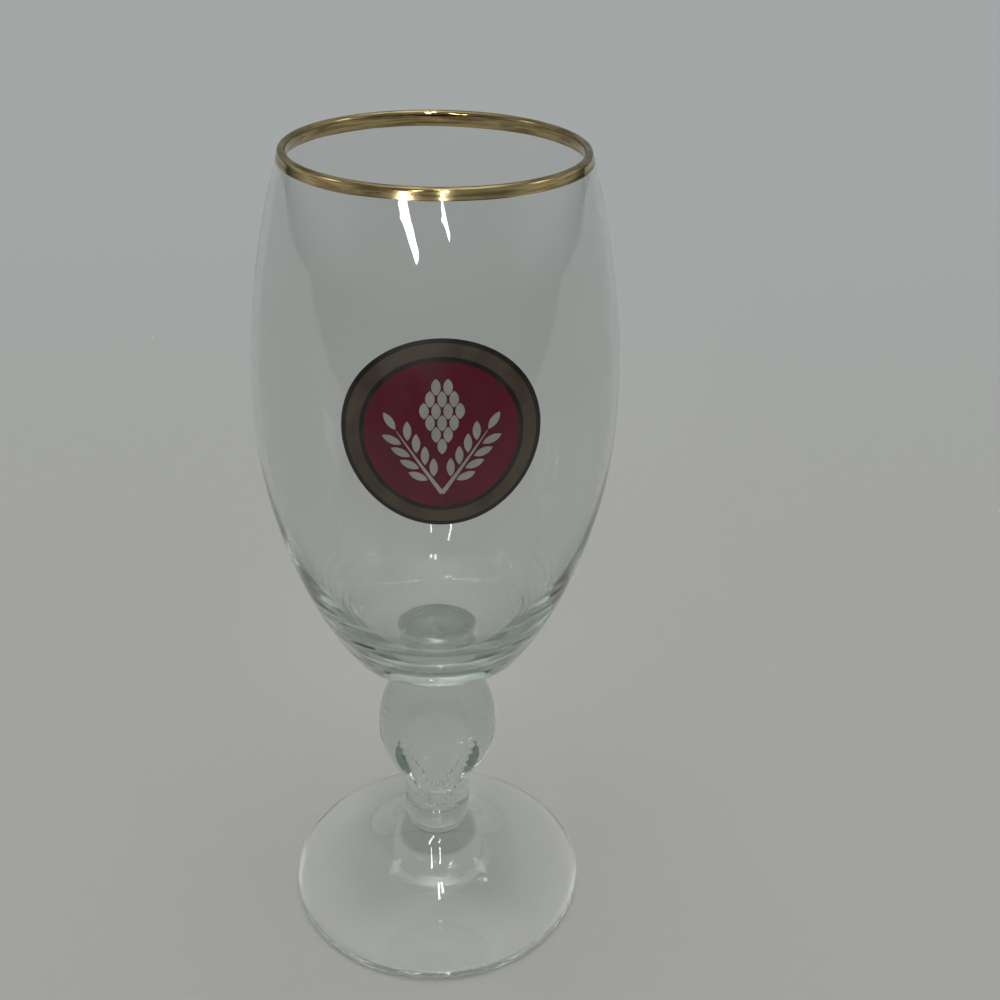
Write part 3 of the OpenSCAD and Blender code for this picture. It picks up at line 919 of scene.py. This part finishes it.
# Light: a grey room with a bright ceiling, and lamps that show in the glass and the gold. They reach the
# floor only through the glass.
room = {
    "below": (0.05, 0.05, 0.05), "walls": (0.262, 0.274, 0.265), "ceiling": (1.18, 1.21, 1.215),
    "wallFrom": -0.05, "wallTo": 0.14, "ceilingFrom": 0.80, "ceilingTo": 0.97,
    "panes": (0.50, 0.515, 0.51), "paneFrom": 0.72, "paneTo": 0.93,  # to the left and the right
    "far": (0.36, 0.375, 0.362), "farFrom": 0.56, "farTo": 0.62,  # behind the glass, from half height up
    "backFrom": 0.2, "backTo": 0.4,
}
# each lamp: start and end of its length as (x, y, height) in metres, width, and radiance
lamps = {
    "paneLeft": ((-1.7, -0.35, 1.15), (-1.7, 0.05, 1.15), 0.4, 2.0),
    "paneRight": ((1.7, -0.35, 1.15), (1.7, 0.05, 1.15), 0.4, 2.0),
    "troughLeft": ((-1.95, -9.4, 1.65), (-1.95, -4.2, 1.65), 0.36, 26),
    "troughRight": ((1.10, -7.0, 1.65), (0.30, -4.8, 1.65), 0.14, 30),
    "hookLeft": ((-1.04, -3.60, 1.65), (-0.40, -1.75, 1.65), 0.10, 26),
    "hookRight": ((0.43, -3.80, 1.65), (0.22, -2.00, 1.65), 0.10, 26),
    "overheadLeft": ((0.04, -1.2, 1.65), (0.04, -0.7, 1.65), 0.07, 20),
    "overheadRight": ((0.17, -1.2, 1.65), (0.17, -0.85, 1.65), 0.07, 20),
}
aim = Vector((0, 0, 0.1))  # the middle of the glass, which every lamp faces


def addLamp(name, start, end, width, radiance):
    start, end = Vector(start), Vector(end)
    middle, along = (start + end) / 2, end - start
    data = bpy.data.lights.new(name, "AREA")
    data.shape = "RECTANGLE"
    data.size, data.size_y = width, along.length
    data.energy = radiance * math.pi * width * along.length
    up = along.normalized()
    back = middle - aim
    back = (back - up * back.dot(up)).normalized()
    lamp = bpy.data.objects.new(name, data)
    facing = Matrix((up.cross(back), up, back)).transposed().to_4x4()
    lamp.matrix_world = Matrix.Translation(middle) @ facing
    lamp.visible_diffuse = False
    scene.collection.objects.link(lamp)


def buildRoom():
    world = bpy.data.worlds.new("room")
    scene.world = world
    world.use_nodes = True
    graph = Graph(world.node_tree)
    sight = graph.add("ShaderNodeTexCoord")["Generated"]
    toward = graph.add("ShaderNodeSeparateXYZ", {}, {"Vector": sight})
    height = toward["Z"]
    across = graph.calc("ABSOLUTE", toward["X"])
    walls = graph.blend(graph.fade(across, room["paneFrom"], room["paneTo"]), room["walls"], room["panes"])
    behind = graph.fade(toward["Y"], room["backFrom"], room["backTo"])
    behind = behind * graph.fade(height, room["farFrom"], room["farTo"])
    walls = graph.blend(behind, walls, room["far"])
    sides = graph.blend(graph.fade(height, room["wallFrom"], room["wallTo"]), room["below"], walls)
    sky = graph.blend(graph.fade(height, room["ceilingFrom"], room["ceilingTo"]), sides, room["ceiling"])
    glow = graph.add("ShaderNodeBackground", {}, {"Color": sky, "Strength": 1.0})
    graph.add("ShaderNodeOutputWorld", {}, {"Surface": glow})
    for name, look in lamps.items():
        addLamp(name, *look)


buildRoom()

# Camera: as the photograph was taken, from close by and above; metres and degrees
view = {
    "distance": 0.26036, "height": 0.26418, "pitch": 29.353, "yaw": 3.2487, "roll": 1.4611, "lens": 46.007,
}


def addCamera():
    pitch, yaw, roll = (math.radians(view[key]) for key in ("pitch", "yaw", "roll"))
    ahead = Vector((math.sin(yaw) * math.cos(pitch), math.cos(yaw) * math.cos(pitch), -math.sin(pitch)))
    level = Vector((math.cos(yaw), -math.sin(yaw), 0))
    above = level.cross(ahead)
    right = level * math.cos(roll) + above * math.sin(roll)
    up = above * math.cos(roll) - level * math.sin(roll)
    data = bpy.data.cameras.new("photoCamera")
    data.lens, data.sensor_width, data.clip_start = view["lens"], 36, 0.01
    camera = bpy.data.objects.new("photoCamera", data)
    placed = Matrix((right, up, -ahead)).transposed().to_4x4()
    placed.translation = Vector((0, -view["distance"], view["height"]))
    camera.matrix_world = placed
    scene.collection.objects.link(camera)
    scene.camera = camera


addCamera()
bounces = 56  # the thick base guides light through many reflections
cycles = scene.cycles
cycles.max_bounces = cycles.transmission_bounces = bounces
cycles.transparent_max_bounces = cycles.glossy_bounces = bounces
cycles.blur_glossy = 0.0
cycles.sample_clamp_indirect = 0.0  # or the glints on the far wall turn grey
scene.view_settings.view_transform = "Standard"
